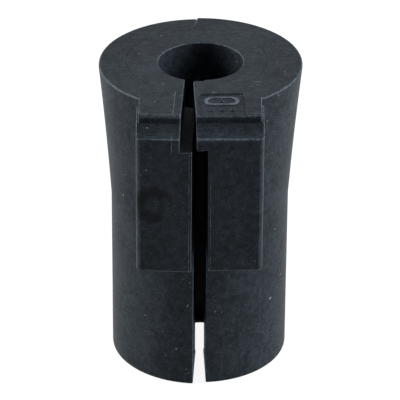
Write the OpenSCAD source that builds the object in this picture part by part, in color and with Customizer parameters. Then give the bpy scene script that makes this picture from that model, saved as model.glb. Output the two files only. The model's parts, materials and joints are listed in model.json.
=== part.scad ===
// Split strain relief bushing: one moulded rubber plug that is opened at its slit,
// laid round a cable and pressed into a housing's keyed socket.
// The cable runs along Z. The slit and the key pads face -Y, the hinge wall is at +Y,
// and the origin is on the bore's axis, level with the foot.

/* [Body] */
// Whole length along the cable
length = 38; // [34:0.5:60]
// Diameter of the straight lower part that enters the socket
body_d = 21.2; // [18:0.1:23]
// Height of the straight lower part, up to where the flare starts
body_h = 20.9; // [14:0.1:28]
// Diameter of the top face
head_d = 24; // [23:0.1:30]
// How hollow the flare is, from 0 for a straight cone
flare_hollow = 0.24; // [0:0.02:0.6]
// Edge radius of the top rim
rim_r = 0.35; // [0.1:0.05:0.8]
// Edge radius of the foot
foot_r = 0.25; // [0.1:0.05:0.8]

/* [Cable bore] */
// Diameter of the bore that grips the cable
bore_d = 10; // [7.5:0.1:12]
// Edge radius of the bore's mouth
mouth_r = 0.2; // [0.1:0.05:0.6]
// Diameter of the opening in the sealing lip at the foot
lip_d = 6.9; // [5:0.1:7.3]
// Thickness of the sealing lip
lip_t = 0.5; // [0.4:0.1:1.5]

/* [Slit] */
// Gap between the halves where the slit opens into the bore
slit_w = 0.9; // [0.5:0.02:1.2]
// Angle that the halves stand open
slit_angle = 4.9; // [2:0.1:7]

/* [Tongue] */
// Height of the tongue, down from the top face
tongue_h = 3.5; // [2:0.1:6]
// How far the tongue reaches over the slit below it
tongue_reach = 1.3; // [0.6:0.02:2]
// Gap between the tongue and its recess, beside the tongue and under it
tongue_clearance = 0.1; // [0.04:0.02:0.4]
// How far the tongue's end stands back from the bore
tongue_setback = 0.3; // [0.2:0.05:1.2]

/* [Key pads] */
// Width over both pads at their front face, with the halves closed
key_w = 12.7; // [10:0.02:15]
// Distance from the bore's axis to the pads' front face
key_reach = 16.2; // [15:0.1:19]
// Height of the pads, down from the top face
key_h = 19.35; // [12:0.05:24]
// Draft of the pads' sides, narrowing to the front
key_draft = 2.4; // [0:0.1:5]
// Radius of the pads' lower and front corners
key_corner_r = 0.5; // [0.2:0.05:0.9]
// Edge radius between the ledge and the front face
key_edge_r = 0.2; // [0.1:0.05:0.5]
// Depth of the flat ledge at the top of the front face
ledge_d = 1.15; // [0.7:0.05:2]
// Height and depth of the slope between the ledge and the crown
slope_h = 1; // [0.4:0.05:2]
// Height of the crown, from the slope up to the top face
crown_h = 1; // [0.6:0.05:2]
// How far the crown stands in from each side
crown_inset = 0.24; // [0.1:0.02:0.5]
// Edge radius of the crown's front
crown_r = 0.4; // [0.1:0.05:0.5]

/* [Hinge] */
// Radius, from the bore's axis, out to which the hinge wall is left whole
hinge_r = 8.6; // [6.8:0.1:9.5]
// Width of the relief cut behind the hinge wall
relief_w = 0.12; // [0.1:0.02:0.5]
// Sideways place of the relief cut at the hinge wall
relief_x = -0.78; // [-1.5:0.02:1.5]
// Lean of the relief cut
relief_angle = 5; // [-6:0.1:6]

/* [Marking panel] */
// Width of the sunk panel on the tongue half's top face
panel_w = 5.4; // [3:0.1:5.5]
// Distance between the tongue's edge and the panel
panel_margin = 0.42; // [0.3:0.02:1]
// Distance from the bore's axis to the panel's back edge
panel_y = 8.8; // [8:0.05:10]
// Depth of the panel
panel_t = 0.18; // [0.1:0.02:0.4]
// Radius of the panel's back corners
panel_r = 0.6; // [0.2:0.05:1]

/* [Hidden] */
$fn = 96;

bore_r = bore_d / 2;
body_r = body_d / 2;
head_r = head_d / 2;
lip_r = lip_d / 2;
half_angle = slit_angle / 2;
// the slit's two faces would meet here, in the hinge wall
apex_y = slit_w / 2 / tan(half_angle) - bore_r;
tongue_z = length - tongue_h;
key_z = length - key_h;
// the pads' roots lie in the wall, clear of the bore
key_root_y = bore_r + 1;
// how far cutting shapes run past the faces that they cut
over = 1;
arc_steps = 6;
flare_steps = 8;

function half_gap(y) = (apex_y - y) * tan(half_angle);

function arc(centre, r, from, to) =
    [for (i = [0:arc_steps])
        let (a = from + (to - from) * i / arc_steps)
        centre + r * [cos(a), sin(a)]];

// Radius of the flare at share u of its height
function flare_radius(u) =
    body_r + (head_r - body_r) * ((1 - flare_hollow) * u + flare_hollow * u * u);

// Upright section of the wall, from the lip at the foot round to the bore's mouth
module wall_section() {
    rim_u = (length - rim_r - body_h) / (length - body_h);
    flare = [for (i = [0:flare_steps])
        let (u = rim_u * i / flare_steps)
        [flare_radius(u), body_h + u * (length - body_h)]];
    polygon(concat(
        [[lip_r, 0]],
        arc([body_r - foot_r, foot_r], foot_r, -90, 0),
        flare,
        arc([flare_radius(rim_u) - rim_r, length - rim_r], rim_r, 0, 90),
        arc([bore_r + mouth_r, length - mouth_r], mouth_r, 90, 180),
        [[bore_r, lip_t], [lip_r, lip_t]]
    ));
}

module body() {
    color("#2b2b2e") rotate_extrude() wall_section();
}

// Places a shape that is drawn in one half's own frame, where the slit is closed and
// the half lies at +X, to where that half stands when the bushing is open
module open_half(side) {
    translate([0, apex_y, 0])
        rotate(side * half_angle)
            translate([0, -apex_y, 0])
                mirror([side < 0 ? 1 : 0, 0, 0]) children();
}

// Side view of a pad, as [distance to the front, height]
module key_profile() {
    crown_front = key_reach - ledge_d - slope_h;
    crown_z = length - crown_h;
    ledge_z = crown_z - slope_h;
    polygon(concat(
        [[key_root_y, key_z]],
        arc([key_reach - key_corner_r, key_z + key_corner_r], key_corner_r, -90, 0),
        arc([key_reach - key_edge_r, ledge_z - key_edge_r], key_edge_r, 0, 90),
        [[key_reach - ledge_d, ledge_z], [crown_front, crown_z]],
        arc([crown_front - crown_r, length - crown_r], crown_r, 0, 90),
        [[key_root_y, length]]
    ));
}

// Plan view of a pad, whose side leans in by the draft and meets the front in a radius
module key_plan(inner, outer) {
    corner_x = outer + key_corner_r * (tan(key_draft) - 1 / cos(key_draft));
    polygon(concat(
        [[-inner, -key_root_y], [-inner, -key_reach]],
        arc([corner_x, key_corner_r - key_reach], key_corner_r, -90, -key_draft),
        [[outer + (key_reach - key_root_y) * tan(key_draft), -key_root_y]]
    ));
}

// Rounds the lower corner of a pad's outer side, along the side's own draft. The round's
// facets stand just outside its radius, so that their ends cross the pad's faces.
module key_corner_cut(outer) {
    centre = [outer - key_corner_r, key_z + key_corner_r];
    run = key_reach + over;
    translate([outer, -key_reach, 0]) rotate(-key_draft) translate([-outer, run, 0])
        rotate([90, 0, 0]) linear_extrude(run + over)
            polygon(concat(
                arc(centre, key_corner_r / cos(45 / arc_steps), -90, 0),
                [[outer + over, centre.y], [outer + over, key_z - over], [centre.x, key_z - over]]
            ));
}

// One level of a pad. It starts inner past the slit's plane and is outer wide at the front.
module key_block(inner, outer, low, high) {
    run = key_reach + over;
    intersection() {
        translate([0, 0, low]) linear_extrude(high - low) key_plan(inner, outer);
        rotate([90, 0, -90]) translate([0, 0, -outer - run])
            linear_extrude(inner + outer + 2 * run) key_profile();
    }
}

// A pad starts within the gap, where the slit trims it. The +X pad carries the tongue, and
// the crown stands in from the sides of the level below it.
module key_pad(side) {
    half_w = key_w / 2;
    crown_z = length - crown_h;
    inner = side > 0 ? tongue_reach + slit_w / 4 : slit_w / 2;
    color("#232427") open_half(side) {
        difference() {
            key_block(inner, half_w, key_z - over, crown_z);
            key_corner_cut(half_w);
        }
        key_block(inner, half_w - crown_inset, crown_z - over, length);
    }
}

// Plan of the slit, with its left face moved by left and its right face by right
module slit_plan(left, right) {
    back_y = -lip_r / 2;
    front_y = -key_reach - over;
    polygon([
        [left - half_gap(back_y), back_y], [right + half_gap(back_y), back_y],
        [right + half_gap(front_y), front_y], [left - half_gap(front_y), front_y]
    ]);
}

// The slit steps sideways at the tongue, so that the closed halves lock
module slit() {
    recess_reach = tongue_reach + tongue_clearance;
    recess_z = tongue_z - tongue_clearance;
    tongue_end_y = -bore_r - tongue_setback;
    translate([0, 0, -over]) linear_extrude(tongue_z + over) slit_plan(0, 0);
    translate([0, 0, recess_z]) linear_extrude(tongue_clearance) slit_plan(-recess_reach, 0);
    translate([0, 0, tongue_z]) linear_extrude(tongue_h + over) {
        slit_plan(-recess_reach, -tongue_reach);
        translate([-recess_reach, tongue_end_y])
            square([recess_reach + half_gap(tongue_end_y), -tongue_end_y]);
    }
}

module relief_cut() {
    translate([relief_x, hinge_r, -over])
        rotate(-relief_angle)
            translate([-relief_w / 2, 0, 0])
                cube([relief_w, head_r, length + 2 * over]);
}

// Sunk panel beside the tongue's edge, open at the pad's front
module marking_panel() {
    panel_d = key_reach + over - panel_y;
    open_half(1)
        translate([panel_margin - tongue_reach, -key_reach - over, length - panel_t])
            linear_extrude(panel_t + over)
                polygon(concat(
                    [[0, 0], [panel_w, 0]],
                    arc([panel_w - panel_r, panel_d - panel_r], panel_r, 0, 90),
                    arc([panel_r, panel_d - panel_r], panel_r, 90, 180)
                ));
}

module bushing() {
    difference() {
        union() {
            body();
            for (side = [-1, 1]) key_pad(side);
        }
        slit();
        relief_cut();
        marking_panel();
    }
}

bushing();
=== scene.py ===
import json
from math import cos, pi, radians, tan

import bmesh
import bpy
from mathutils import Matrix, Vector


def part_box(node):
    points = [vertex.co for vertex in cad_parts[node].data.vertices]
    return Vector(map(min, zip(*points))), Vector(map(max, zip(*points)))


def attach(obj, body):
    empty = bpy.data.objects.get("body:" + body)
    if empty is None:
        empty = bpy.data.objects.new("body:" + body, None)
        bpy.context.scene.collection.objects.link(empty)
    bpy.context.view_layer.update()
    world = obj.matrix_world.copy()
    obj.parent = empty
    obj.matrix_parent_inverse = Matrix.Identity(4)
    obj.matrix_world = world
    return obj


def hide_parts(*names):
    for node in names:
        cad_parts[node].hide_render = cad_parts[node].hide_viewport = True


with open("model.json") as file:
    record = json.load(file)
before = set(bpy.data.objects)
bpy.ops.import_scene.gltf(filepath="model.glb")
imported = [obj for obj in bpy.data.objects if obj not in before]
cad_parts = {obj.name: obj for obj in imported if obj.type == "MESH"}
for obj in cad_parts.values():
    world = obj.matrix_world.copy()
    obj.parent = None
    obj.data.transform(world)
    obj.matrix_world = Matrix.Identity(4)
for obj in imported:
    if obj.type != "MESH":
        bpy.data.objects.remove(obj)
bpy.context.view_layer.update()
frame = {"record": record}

# ---- Camera ----
# A long lens looks down on the side with the slit, from a little above the bushing. The
# lens is rolled by a third of a degree, as it was on its stand.

MM = 0.001
aim = Vector((0.03, 0, 19.42)) * MM
camera_distance = 342.4 * MM
camera_elevation = radians(28.8)
camera_roll = radians(0.39)

bpy.ops.object.camera_add()
camera = bpy.context.object
camera.name = "camera"
camera.data.lens = 256
camera.data.sensor_width = 36
camera.data.clip_start = 10 * MM
camera.matrix_world = (
    Matrix.Translation(aim)
    @ Matrix.Rotation(radians(90) - camera_elevation, 4, "X")
    @ Matrix.Rotation(camera_roll, 4, "Z")
    @ Matrix.Translation((0, 0, camera_distance))
)
bpy.context.scene.camera = camera
bpy.context.scene.view_settings.view_transform = "Standard"


# ---- Studio lamps ----
# Two tall soft boxes stand at the sides, so that the flanks are bright and the side with
# the slit stays dark.

box_width, box_height, box_distance = 200 * MM, 360 * MM, 420 * MM


def soft_box(name, azimuth, height, power, colour):
    """Turns a soft box to the bushing, from an azimuth and a height in degrees."""
    turn = Matrix.Rotation(radians(azimuth), 4, "Z") @ Matrix.Rotation(radians(90 - height), 4, "X")
    bpy.ops.object.light_add(type="AREA")
    lamp = bpy.context.object
    lamp.name = name
    lamp.data.shape = "RECTANGLE"
    lamp.data.size = box_width
    lamp.data.size_y = box_height
    lamp.data.energy = power
    lamp.data.color = colour
    lamp.matrix_world = Matrix.Translation(aim) @ turn @ Matrix.Translation((0, 0, box_distance))


soft_box("left_box", azimuth=-99, height=26, power=6.0, colour=(0.86, 0.94, 1))
soft_box("right_box", azimuth=89, height=26, power=6.4, colour=(0.8, 0.91, 1))


# ---- Floor and room ----
# The floor is pale paper that runs on into a white room. Only the light that the paper
# and the room send on to the bushing is dimmed.

class Value:
    """A node's output in a material or world, on which + - * / < and > add Math nodes."""

    def __init__(self, socket):
        self.socket = socket

    def node(self, kind, inputs=(), output=0, **settings):
        """Adds a node: first its settings, then the values or the links of its sockets."""
        tree = self.socket.id_data
        node = tree.nodes.new(kind)
        for name, setting in settings.items():
            setattr(node, name, setting)
        for key, value in dict(inputs).items():
            if isinstance(value, Value):
                tree.links.new(value.socket, node.inputs[key])
            else:
                node.inputs[key].default_value = value
        return Value(node.outputs[output])

    def math(self, operation, *others):
        return self.node("ShaderNodeMath", enumerate((self, *others)), operation=operation)

    def __add__(self, other):
        return self.math("ADD", other)

    def __sub__(self, other):
        return self.math("SUBTRACT", other)

    def __rsub__(self, other):
        return self.node("ShaderNodeMath", {0: other, 1: self}, operation="SUBTRACT")

    def __mul__(self, other):
        return self.math("MULTIPLY", other)

    def __truediv__(self, other):
        return self.math("DIVIDE", other)

    def __gt__(self, other):
        return self.math("GREATER_THAN", other)

    def __lt__(self, other):
        return self.math("LESS_THAN", other)

    __radd__ = __add__
    __rmul__ = __mul__


def start(data, kind):
    """Empties a material's or a world's nodes, and gives the light path and the output."""
    data.use_nodes = True
    data.node_tree.nodes.clear()
    light_path = data.node_tree.nodes.new("ShaderNodeLightPath")
    return light_path, data.node_tree.nodes.new(kind)


def seen_white(light_path):
    """1 for rays on which the room has to look white: the camera's and reflected ones."""
    camera_ray = Value(light_path.outputs["Is Camera Ray"])
    glossy_ray = Value(light_path.outputs["Is Glossy Ray"])
    clear_ray = Value(light_path.outputs["Is Transmission Ray"])
    return camera_ray.math("MAXIMUM", glossy_ray.math("MAXIMUM", clear_ray))


white, dim_white, paper_white = (1, 1, 1, 1), (0.08, 0.084, 0.094, 1), (0.8, 0.8, 0.8, 1)
# What this share leaves is lit as real paper is, and shows the shadow
paper_glow = 0.92

room = bpy.data.worlds.new("room")
bpy.context.scene.world = room
light_path, output = start(room, "ShaderNodeOutputWorld")
seen = seen_white(light_path)
dim = seen.node("ShaderNodeBackground", {"Color": dim_white})
bright = seen.node("ShaderNodeBackground", {"Color": white})
surface = seen.node("ShaderNodeMixShader", {0: seen, 1: dim, 2: bright})
room.node_tree.links.new(surface.socket, output.inputs["Surface"])

bpy.ops.mesh.primitive_plane_add(size=3)
floor = bpy.context.object
floor.name = "floor"
paper = bpy.data.materials.new("white_paper")
light_path, output = start(paper, "ShaderNodeOutputMaterial")
seen = seen_white(light_path) * paper_glow
matt = seen.node("ShaderNodeBsdfDiffuse", {"Color": paper_white})
bright = seen.node("ShaderNodeEmission", {"Color": white})
surface = seen.node("ShaderNodeMixShader", {0: seen, 1: matt, 2: bright})
paper.node_tree.links.new(surface.socket, output.inputs["Surface"])
floor.data.materials.append(paper)


# ---- Bushing ----
# The bushing is one moulding of charcoal rubber with a fine spark-eroded grain. Its two
# halves hang together at the hinge wall, and stand a little open at the slit.
# It is modelled in millimetres and brought to metres at the end.

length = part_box("bushing")[1].z / MM
bore_r, lip_r = (mount["dims"]["r_mm"] for mount in frame["record"]["mounts"][:2])
lip_t = 0.5
body_r, body_h = 10.6, 20.9
head_r, flare_hollow = 12, 0.24
sides, flare_levels = 81, 9
half_angle = radians(2.45)
slit_w = 0.9
apex_y = slit_w / 2 / tan(half_angle) - bore_r
pad_w, pad_reach, pad_root = 12.7, 16.2, 6
pad_z = length - 19.35
pad_draft = tan(radians(2.4))
crown_z, ledge_z = length - 1, length - 2
ledge_d, slope_d, crown_inset = 1.15, 1, 0.24
tongue_z, tongue_reach, tongue_gap = length - 3.5, 1.3, 0.1
recess_z, recess_reach = tongue_z - tongue_gap, tongue_reach + tongue_gap
tongue_end_y = -bore_r - 0.3
hinge_r = 8.6
crack_x, crack_w, crack_lean = -0.78, 0.05, radians(5)
creep = 0.15
over = 1


def pick(kind, test):
    """Selects the vertices, edges or faces of the mesh being edited that pass the test."""
    bpy.ops.mesh.select_mode(type=kind)
    bpy.ops.mesh.select_all(action="DESELECT")
    mesh = bpy.context.object.data
    shape = bmesh.from_edit_mesh(mesh)
    for part in {"VERT": shape.verts, "EDGE": shape.edges, "FACE": shape.faces}[kind]:
        if test(part):
            part.select_set(True)
    bmesh.update_edit_mesh(mesh)


def near(a, b):
    return abs(a - b) < 0.01


def middle(part):
    return sum((vertex.co for vertex in part.verts), Vector()) / len(part.verts)


def block(name, low, high):
    """Adds a box between two corners and opens it for editing."""
    bpy.ops.object.select_all(action="DESELECT")
    low, high = Vector(low), Vector(high)
    bpy.ops.mesh.primitive_cube_add(size=1, location=(low + high) / 2)
    bpy.context.object.name = name
    bpy.context.object.scale = high - low
    bpy.ops.object.transform_apply(location=True, rotation=True, scale=True)
    bpy.ops.object.mode_set(mode="EDIT")
    return bpy.context.object


def close_up(obj, matrix=Matrix()):
    """Ends the editing, puts the shape in its place and turns its faces outwards."""
    bpy.ops.object.mode_set(mode="OBJECT")
    obj.matrix_world = matrix
    bpy.ops.object.transform_apply(location=True, rotation=True, scale=True)
    bpy.ops.object.mode_set(mode="EDIT")
    bpy.ops.mesh.select_all(action="SELECT")
    bpy.ops.mesh.normals_make_consistent(inside=False)
    bpy.ops.object.mode_set(mode="OBJECT")
    return obj


def combine(tool, operation, target=None):
    """Joins a shape to the bushing, or another target, or cuts it out."""
    target = target or bushing
    bpy.ops.object.select_all(action="DESELECT")
    bpy.context.view_layer.objects.active = target
    target.select_set(True)
    modifier = target.modifiers.new(operation.lower(), "BOOLEAN")
    modifier.operation = operation
    modifier.object = tool
    modifier.solver = "EXACT"
    bpy.ops.object.modifier_apply(modifier=modifier.name)
    bpy.data.objects.remove(tool)


# The body is turned from a cylinder: flared in rings, then bored from the head
bpy.ops.object.select_all(action="DESELECT")
bpy.ops.mesh.primitive_cylinder_add(
    vertices=sides, radius=body_r, depth=length, end_fill_type="NGON", location=(0, 0, length / 2)
)
bushing = bpy.context.object
bushing.name = "rubber_bushing"
bpy.ops.object.transform_apply(location=True, rotation=True, scale=True)
bpy.ops.object.mode_set(mode="EDIT")
levels = [body_h + (length - body_h) * i / flare_levels for i in range(flare_levels + 1)]
for z in levels[:-1]:
    bpy.ops.mesh.select_all(action="SELECT")
    bpy.ops.mesh.bisect(plane_co=(0, 0, z), plane_no=(0, 0, 1))
for z in levels[1:]:
    u = (z - body_h) / (length - body_h)
    grown = 1 + (head_r / body_r - 1) * ((1 - flare_hollow) * u + flare_hollow * u * u)
    pick("VERT", lambda v: near(v.co.z, z))
    bpy.ops.transform.resize(value=(grown, grown, 1), center_override=(0, 0, z))
# An inset is measured at the middle of a side, which lies this share of the radius out
across = cos(pi / sides)
pick("FACE", lambda f: f.normal.z > 0.99)
bpy.ops.mesh.inset(thickness=(head_r - bore_r) * across)
bpy.ops.mesh.extrude_region_move(TRANSFORM_OT_translate={"value": (0, 0, lip_t - length)})
bpy.ops.mesh.inset(thickness=(bore_r - lip_r) * across)
bpy.ops.mesh.delete(type="FACE")
pick("FACE", lambda f: f.normal.z < -0.99)
bpy.ops.mesh.inset(thickness=(body_r - lip_r) * across)
bpy.ops.mesh.delete(type="FACE")


def on_ring(edge, r, z):
    return all(abs(v.co.xy.length - r) < 0.02 and near(v.co.z, z) for v in edge.verts)


pick("EDGE", lambda e: on_ring(e, lip_r, 0) or on_ring(e, lip_r, lip_t))
bpy.ops.mesh.bridge_edge_loops()
rim_round, mouth_round, foot_round, lip_round = 0.35, 0.2, 0.25, 0.1
rims = [(head_r, length, rim_round, 4), (bore_r, length, mouth_round, 3), (body_r, 0, foot_round, 3),
        (lip_r, 0, lip_round, 2), (lip_r, lip_t, lip_round, 2)]
for r, z, radius, steps in rims:
    pick("EDGE", lambda e: on_ring(e, r, z))
    bpy.ops.mesh.bevel(offset=radius, segments=steps, affect="EDGES")
close_up(bushing)


def opened(side):
    """Turns a shape drawn on the closed +X half to where that half stands, or its twin."""
    return (Matrix.Translation((0, apex_y, 0)) @ Matrix.Rotation(side * half_angle, 4, "Z")
            @ Matrix.Translation((0, -apex_y, 0)) @ Matrix.Diagonal((side, 1, 1, 1)))


def half_gap(y):
    return (apex_y - y) * tan(half_angle)


# Each pad is a block that starts within the slit, where the slit then trims it
corner_round, crown_round, front_round, ledge_round, top_round = 0.5, 0.4, 0.32, 0.4, 0.1
for side, inner in ((-1, slit_w / 2), (1, tongue_reach + slit_w / 4)):
    half_w = pad_w / 2
    pad = block("pad", (-inner, -pad_reach, pad_z), (half_w, -pad_root, ledge_z))
    pick("VERT", lambda v: v.co.x > 0 and near(v.co.y, -pad_root))
    bpy.ops.transform.translate(value=((pad_reach - pad_root) * pad_draft, 0, 0))

    def outer_edge(edge):
        place = middle(edge)
        faces = near(place.y, -pad_reach), near(place.z, pad_z), place.x > half_w - 0.01
        return sum(faces) == 2

    pick("EDGE", outer_edge)
    bpy.ops.mesh.bevel(offset=corner_round, segments=4, affect="EDGES")
    ledge_y = ledge_d - pad_reach
    pick("FACE", lambda f: f.normal.z > 0.99)
    bpy.ops.mesh.bisect(plane_co=(0, ledge_y, 0), plane_no=(0, 1, 0))
    pick("FACE", lambda f: f.normal.z > 0.99 and middle(f).y > ledge_y)
    bpy.ops.mesh.extrude_region_move(TRANSFORM_OT_translate={"value": (0, 0, crown_z - ledge_z)})
    pick("VERT", lambda v: near(v.co.z, crown_z) and near(v.co.y, ledge_y))
    bpy.ops.transform.translate(value=(0, slope_d, 0))
    pick("VERT", lambda v: near(v.co.z, crown_z) and near(v.co.y, ledge_y + slope_d) and v.co.x > 0)
    bpy.ops.transform.translate(value=(slope_d * pad_draft, 0, 0))
    pick("FACE", lambda f: f.normal.z > 0.99 and near(middle(f).z, crown_z))
    bpy.ops.mesh.bisect(plane_co=(half_w - crown_inset, -pad_reach, 0), plane_no=(1, -pad_draft, 0))
    pick("FACE", lambda f: f.normal.z > 0.99 and near(middle(f).z, crown_z) and middle(f).x < half_w - 1)
    bpy.ops.mesh.extrude_region_move(TRANSFORM_OT_translate={"value": (0, 0, length - crown_z)})
    pick("EDGE", lambda e: near(middle(e).z, length) and near(middle(e).y, ledge_y + slope_d))
    bpy.ops.mesh.bevel(offset=crown_round, segments=4, affect="EDGES")

    def top_edge(edge):
        place = middle(edge)
        outside = place.x > 0.01 - inner and place.y < -0.01 - pad_root and place.z > ledge_z - 0.01
        return outside and edge.is_convex and edge.calc_face_angle(0) > radians(40)

    pick("EDGE", lambda e: top_edge(e) and near(middle(e).z, ledge_z) and middle(e).x < half_w - 0.6)
    bpy.ops.mesh.bevel(offset=front_round, segments=4, affect="EDGES")
    pick("EDGE", lambda e: near(middle(e).z, ledge_z) and near(middle(e).y, ledge_y) and not e.is_convex)
    bpy.ops.mesh.bevel(offset=ledge_round, segments=4, affect="EDGES")
    pick("EDGE", top_edge)
    bpy.ops.mesh.bevel(offset=top_round, segments=2, affect="EDGES")
    combine(close_up(pad, opened(side)), "UNION")


def wedge(low, high, left, right):
    """A length of the slit, with its left face moved by left and its right face by right."""
    back_y, front_y = -lip_r / 2, -pad_reach - over
    shape = block("slit", (-over, front_y, low), (over, back_y, high))
    for y in (back_y, front_y):
        for x, face_x in ((-over, left - half_gap(y)), (over, right + half_gap(y))):
            pick("VERT", lambda v: v.co.x == x and near(v.co.y, y))
            bpy.ops.transform.translate(value=(face_x - x, 0, 0))
    return shape


# The right face of the slit leans out a little towards the foot
slit_lean = 0.18
slit = wedge(-over, tongue_z, 0, 0)
pick("VERT", lambda v: v.co.x > 0 and v.co.z < 0)
bpy.ops.transform.translate(value=(slit_lean, 0, 0))
combine(close_up(slit), "DIFFERENCE")
combine(close_up(wedge(recess_z, tongue_z, -recess_reach, 0)), "DIFFERENCE")
combine(close_up(wedge(tongue_z, length + over, -recess_reach, -tongue_reach)), "DIFFERENCE")
end_gap_corner = half_gap(tongue_end_y), 0, length + over
end_gap = block("end_gap", (-recess_reach, tongue_end_y, tongue_z), end_gap_corner)
combine(close_up(end_gap), "DIFFERENCE")

# The relief cut behind the hinge wall has closed up to a crack
crack = block("crack", (-crack_w / 2, 0, -over), (crack_w / 2, body_r, length + over))
crack_place = Matrix.Translation((crack_x, hinge_r, 0)) @ Matrix.Rotation(-crack_lean, 4, "Z")
combine(close_up(crack, crack_place), "DIFFERENCE")

# The sunk panel has drafted walls, and runs out at the front of the tongue's pad
panel_w, panel_y, panel_t, panel_wall, panel_round = 5.56, 8.65, 0.18, 0.16, 0.6
panel_x = 0.28 - tongue_reach
panel = block("panel", (panel_x, -pad_reach - over, length), (panel_x + panel_w, -panel_y, length + over))
pick("EDGE", lambda e: near(middle(e).y, -panel_y) and near(middle(e).z, length + over / 2))
bpy.ops.mesh.bevel(offset=panel_round, segments=5, affect="EDGES")
pick("FACE", lambda f: f.normal.z < -0.9)
bpy.ops.mesh.inset(thickness=panel_wall, depth=panel_t)
combine(close_up(panel, opened(1)), "DIFFERENCE")

# Edges along the slit are rounded, and two of its corners more than the rest
slit_round, pad_corner_round, tongue_corner_round = 0.13, 0.45, 0.25
bpy.ops.object.mode_set(mode="EDIT")
bpy.ops.mesh.select_all(action="SELECT")
bpy.ops.mesh.remove_doubles(threshold=0.035)
bpy.ops.mesh.dissolve_limited(angle_limit=radians(0.3), delimit={"NORMAL"})


def pad_corner(edge):
    place = middle(edge)
    return near(place.z, pad_z) and 0.5 < place.x < 1.2 and place.y < -body_r - over


def tongue_corner(edge):
    place = middle(edge)
    return near(place.y, tongue_end_y) and place.x < -0.5 and tongue_z + 0.1 < place.z < length - 0.1


pick("EDGE", pad_corner)
bpy.ops.mesh.bevel(offset=pad_corner_round, segments=4, affect="EDGES")
pick("EDGE", tongue_corner)
bpy.ops.mesh.bevel(offset=tongue_corner_round, segments=3, affect="EDGES")


def slit_face(face):
    place, normal = middle(face), face.normal
    wall = abs(normal.x) > 0.99 and abs(place.x) < 4
    step = abs(normal.z) > 0.99 and (near(place.z, tongue_z) or near(place.z, recess_z))
    end = abs(normal.y) > 0.99 and near(place.y, tongue_end_y)
    corner = abs(normal.y) < 0.1 and 0.3 < place.x < 1.4 and pad_z - 0.1 < place.z < pad_z + 0.5
    rounded_end = abs(normal.z) < 0.1 and abs(place.x + 0.75) < 0.3 and abs(place.y - tongue_end_y) < 0.3
    return wall or step or end or corner or rounded_end


def slit_edge(edge):
    sharp = edge.is_convex and edge.calc_face_angle(0) > radians(25)
    in_bore = middle(edge).y > -bore_r and middle(edge).y < 0 and middle(edge).z < tongue_z
    return sharp and not in_bore and any(slit_face(face) for face in edge.link_faces)


pick("EDGE", slit_edge)
bpy.ops.mesh.bevel(
    offset=slit_round, segments=3, affect="EDGES", clamp_overlap=False, miter_outer="ARC"
)
bpy.ops.object.mode_set(mode="OBJECT")

# A plain raised mark stands on the panel's floor: a wide ring, a pip in it and three below
mark_x, ring_y, pips_y = 1.76, -10.35, -12.6
ring_r, ring_stretch, stroke_r = 0.86, 0.95, 0.24
inner_pip_r, pip_r, pip_step = 0.3, 0.36, 1.2
mark_z, mark_flatness = length - panel_t, 0.7


def stand_on_panel(shape, x, y):
    """Flattens a round shape and sinks its lower half in the panel's floor."""
    place = Matrix.Translation((x, y, mark_z)) @ Matrix.Diagonal((1, 1, mark_flatness, 1))
    combine(close_up(shape, opened(1) @ place), "UNION")


bpy.ops.mesh.primitive_torus_add(
    major_radius=ring_r, minor_radius=stroke_r, major_segments=64, minor_segments=12
)
ring = bpy.context.object
bpy.ops.object.mode_set(mode="EDIT")
for side in (-1, 1):
    pick("VERT", lambda v: v.co.x * side > 0.01)
    bpy.ops.transform.translate(value=(side * ring_stretch, 0, 0))
stand_on_panel(ring, mark_x, ring_y)
pips = [(0, ring_y, inner_pip_r)] + [(step * pip_step, pips_y, pip_r) for step in (-1, 0, 1)]
for x, y, r in pips:
    bpy.ops.mesh.primitive_uv_sphere_add(segments=24, ring_count=12, radius=r)
    stand_on_panel(bpy.context.object, mark_x + x, y)

# The sleeve about the core pin has left a fine ring on the head, which stops at the pads
sleeve_middle, sleeve_r, groove_r = (-0.47, 0.3, length + 0.02), 8.3, 0.06
pads_half_w = 7.4
bpy.ops.mesh.primitive_torus_add(
    location=sleeve_middle, major_radius=sleeve_r, minor_radius=groove_r,
    major_segments=96, minor_segments=8
)
sleeve_ring = bpy.context.object
clip = block("clip", (-pads_half_w, -pad_reach, crown_z), (pads_half_w, -pad_root, length + over))
combine(close_up(clip), "DIFFERENCE", sleeve_ring)
combine(sleeve_ring, "DIFFERENCE")


bead_step = 0.16


def bead(low, high, place, seed, r=0.05, ragged=0.035):
    """Lays a ragged bead between two points, and puts it in place with its half."""
    low, high = Vector(low), Vector(high)
    run = high - low
    bpy.ops.object.select_all(action="DESELECT")
    bpy.ops.mesh.primitive_cylinder_add(vertices=6, radius=r, depth=run.length)
    flash = bpy.context.object
    bpy.ops.object.mode_set(mode="EDIT")
    pick("EDGE", lambda e: near(middle(e).z, 0))
    bpy.ops.mesh.subdivide(number_cuts=int(run.length / bead_step))
    bpy.ops.mesh.select_all(action="SELECT")
    bpy.ops.transform.vertex_random(offset=ragged, seed=seed)
    turn = run.to_track_quat("Z", "Y").to_matrix().to_4x4()
    close_up(flash, place @ Matrix.Translation((low + high) / 2) @ turn)
    bushing.select_set(True)
    bpy.context.view_layer.objects.active = bushing
    bpy.ops.object.join()


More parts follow.
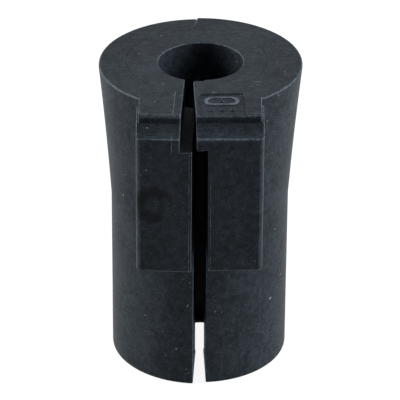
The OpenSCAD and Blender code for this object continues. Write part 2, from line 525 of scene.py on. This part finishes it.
# Flash stands where the mould's parts met: on the left pad, and beside the slit on both
joint_x, slit_x, front_y = 2.3, 0.31, -pad_reach
left, right = opened(-1), opened(1)
bead((joint_x, -8, length), (joint_x, -13.6, length), left, seed=3)
bead((joint_x, -15.4, ledge_z), (joint_x, front_y + 0.3, ledge_z), left, seed=5)
bead((joint_x, front_y, ledge_z - 0.3), (joint_x, front_y, recess_z), left, seed=7)
left_low, right_low = (slit_x, front_y, pad_z + 0.2), (slit_x, front_y, pad_z + 0.6)
bead((slit_x, front_y, recess_z - 0.2), left_low, left, seed=11, r=0.03, ragged=0.03)
bead((slit_x, front_y, 31), right_low, right, seed=13, r=0.03, ragged=0.03)
bead((1.4, -8.3, length), (1.9, -8.3, length), left, seed=17, r=0.03, ragged=0.02)

# A few shreds of flash cling to the body near the foot, each with its foot's place and its run
shreds = [(-1.66, 1.4, 0.5, 0.2), (6.4, 2.2, 0.1, 0.45), (2.64, 9.6, 0.05, 0.3), (-4.1, 3.8, 0.2, 0.15)]
for x, z, run_x, run_z in shreds:
    y = -(body_r ** 2 - x ** 2) ** 0.5
    high = x + run_x, y + x / y * -run_x, z + run_z
    bead((x, y, z), high, Matrix(), seed=19, r=0.045, ragged=0.03)


tongue_slit_x = -0.67 - tongue_reach / 2


def slit_middle(y, z):
    """Where the slit parts the halves, which is further left beside the tongue."""
    beside_tongue = y < tongue_end_y + 0.2 and z > recess_z + 0.02
    return tongue_slit_x if beside_tongue else 0


def share_of_creep(side, x, y, z):
    """How far a point creeps along with one half, from 0 to 1."""
    if y <= 0:
        return float((x > slit_middle(y, z)) == (side > 0))
    crack_at = crack_x + (y - hinge_r) * tan(crack_lean)
    blend = 0.02 if y > hinge_r + 0.1 else 2.5
    return min(1, max(0, side * (x - crack_at) / blend))


# The halves have crept past each other, and the hinge wall is drawn along with them
for side in (-1, 1):
    group = bushing.vertex_groups.new(name="left_half" if side < 0 else "right_half")
    for vertex in bushing.data.vertices:
        group.add([vertex.index], share_of_creep(side, *vertex.co), "REPLACE")
    modifier = bushing.modifiers.new(group.name, "DISPLACE")
    modifier.direction = "Y"
    modifier.vertex_group = group.name
    modifier.mid_level = 0
    modifier.strength = side * creep
    bpy.ops.object.modifier_apply(modifier=modifier.name)

bpy.ops.object.shade_smooth_by_angle(angle=radians(35))
modifier = bushing.modifiers.new("even_faces", "WEIGHTED_NORMAL")
modifier.keep_sharp = True
bpy.ops.object.modifier_apply(modifier=modifier.name)

# The narrow faces within each rounded edge are marked, and a paler colour is painted on them as a
# highlight
widest_highlighted, fully_highlighted = 0.21, 0.1


def bends_out(edge):
    return edge.is_convex and edge.calc_face_angle(0) > radians(18)


shape = bmesh.new()
shape.from_mesh(bushing.data)
painted_highlight = bushing.data.attributes.new("painted_highlight", "FLOAT", "FACE")
for face in shape.faces:
    breadth = face.calc_area() / max(edge.calc_length() for edge in face.edges)
    if breadth < widest_highlighted and sum(bends_out(edge) for edge in face.edges) > 1:
        painted_highlight.data[face.index].value = min(1, fully_highlighted / max(breadth, 0.01)) ** 2
shape.free()
bushing.scale = (MM, MM, MM)
bpy.ops.object.transform_apply(location=True, rotation=True, scale=True)

dark_rubber, pale_rubber = (0.0048, 0.0062, 0.0075, 1), (0.0135, 0.016, 0.019, 1)
dust_grey, speck_grey = (0.075, 0.078, 0.085, 1), (0.13, 0.125, 0.115, 1)
# The first grey on the next line is the colour of the painted edge highlights
highlight_grey, scratch_grey = (0.058, 0.064, 0.072, 1), (0.06, 0.064, 0.07, 1)
grease_black = (0.001, 0.001, 0.0012, 1)

rubber = bpy.data.materials.new("charcoal_rubber")
light_path, output = start(rubber, "ShaderNodeOutputMaterial")
rubber_node = Value(light_path.outputs["Is Camera Ray"]).node
metres = rubber_node("ShaderNodeTexCoord", output=3)
place = rubber_node("ShaderNodeVectorMath", {0: metres, "Scale": 1 / MM}, operation="SCALE")
x, y, z = (place.node("ShaderNodeSeparateXYZ", {0: place}, output=i) for i in range(3))


def noise(scale, detail=2.0, roughness=0.5, at=place):
    inputs = {"Vector": at, "Scale": scale, "Detail": detail, "Roughness": roughness}
    return rubber_node("ShaderNodeTexNoise", inputs)


def between(value, low, high):
    """0 where the value is at or below low, 1 at or above high, and a smooth rise between."""
    inputs = {"Value": value, "From Min": low, "From Max": high}
    return rubber_node("ShaderNodeMapRange", inputs, interpolation_type="SMOOTHSTEP")


def mix(mask, a, b):
    inputs = {0: mask, 6: a, 7: b}
    return rubber_node("ShaderNodeMix", inputs, output=2, data_type="RGBA")


# Spark-eroded grain, with a coarser mottle over it
grain = noise(4.5, 3, 0.6)
mottle = noise(1.3, 4, 0.6)
cloud = noise(0.2, 3, 0.6)
grade = mottle * 0.35 + cloud * 0.25 + grain * 0.4
colour = mix(between(grade, 0.38, 0.62), dark_rubber, pale_rubber)

# Pale dust sits in the grain, and a few grains of it are coarser
dust = between(noise(6, 3, 0.7), 0.55, 0.75) * between(mottle, 0.4, 0.65)
colour = mix(dust * 0.45, colour, dust_grey)
specks = between(noise(2.4, 0), 0.84, 0.86)
colour = mix(specks * 0.7, colour, speck_grey)

# Painted highlights: rounded edges are coloured paler, in patches
edge_highlight = rubber_node("ShaderNodeAttribute", output=2, attribute_name="painted_highlight")
edge_highlight = edge_highlight * (between(noise(2.2, 4, 0.7), 0.35, 0.65) * 0.75 + 0.25)
colour = mix(edge_highlight, colour, highlight_grey)

# A greasy smudge darkens the left pad's front: an open ring with its gap to the right
smudge_x, smudge_z, smudge_w, smudge_h = -5.3, 27.6, 1.9, 2.1
wobble = (noise(0.9, 2) - 0.5) * 1.6
out_x, out_z = (x - smudge_x) / smudge_w, (z - smudge_z) / smudge_h
apart = (out_x * out_x + out_z * out_z).math("SQRT") + wobble * 0.35
stroke = between(apart, 0.25, 0.7) * (1 - between(apart, 0.95, 1.25))
closed = 1 - between(out_x, 0.3, 0.8) * (1 - between(out_z, 0.35, 0.6))
smudge = stroke * closed * (y < 1 - pad_reach) * (between(grain, 0.35, 0.6) * 0.4 + 0.6)
colour = mix(smudge * 0.75, colour, grease_black)

# A patch of fine scratches lies on the head beside the mark
patch_x, patch_y = 6, -5.2
stretched = rubber_node("ShaderNodeVectorMath", {0: place, 1: (0.35, 2.6, 1)}, operation="MULTIPLY")
scratch = between(noise(1.9, 2, 0.6, stretched), 0.6, 0.66)
from_x, from_y = x - patch_x, y - patch_y
from_patch = (from_x * from_x + from_y * from_y).math("SQRT")
scratch = scratch * (1 - between(from_patch, 1.2, 3)) * (z > length - 0.1)
colour = mix(scratch * 0.6, colour, scratch_grey)

grain_depth = 0.12
roughness = 0.42 + grade * 0.1 + dust * 0.2 - smudge * 0.08
height = grain * 0.6 + mottle * 0.4
relief = rubber_node("ShaderNodeBump", {"Height": height, "Strength": 1, "Distance": grain_depth * MM})
skin = rubber_node("ShaderNodeBsdfPrincipled", {
    "Base Color": colour,
    "Roughness": roughness,
    "Specular IOR Level": 0.05,
    "Normal": relief,
})
rubber.node_tree.links.new(skin.socket, output.inputs["Surface"])
bushing.data.materials.clear()
bushing.data.materials.append(rubber)
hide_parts("bushing")
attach(bushing, "root")
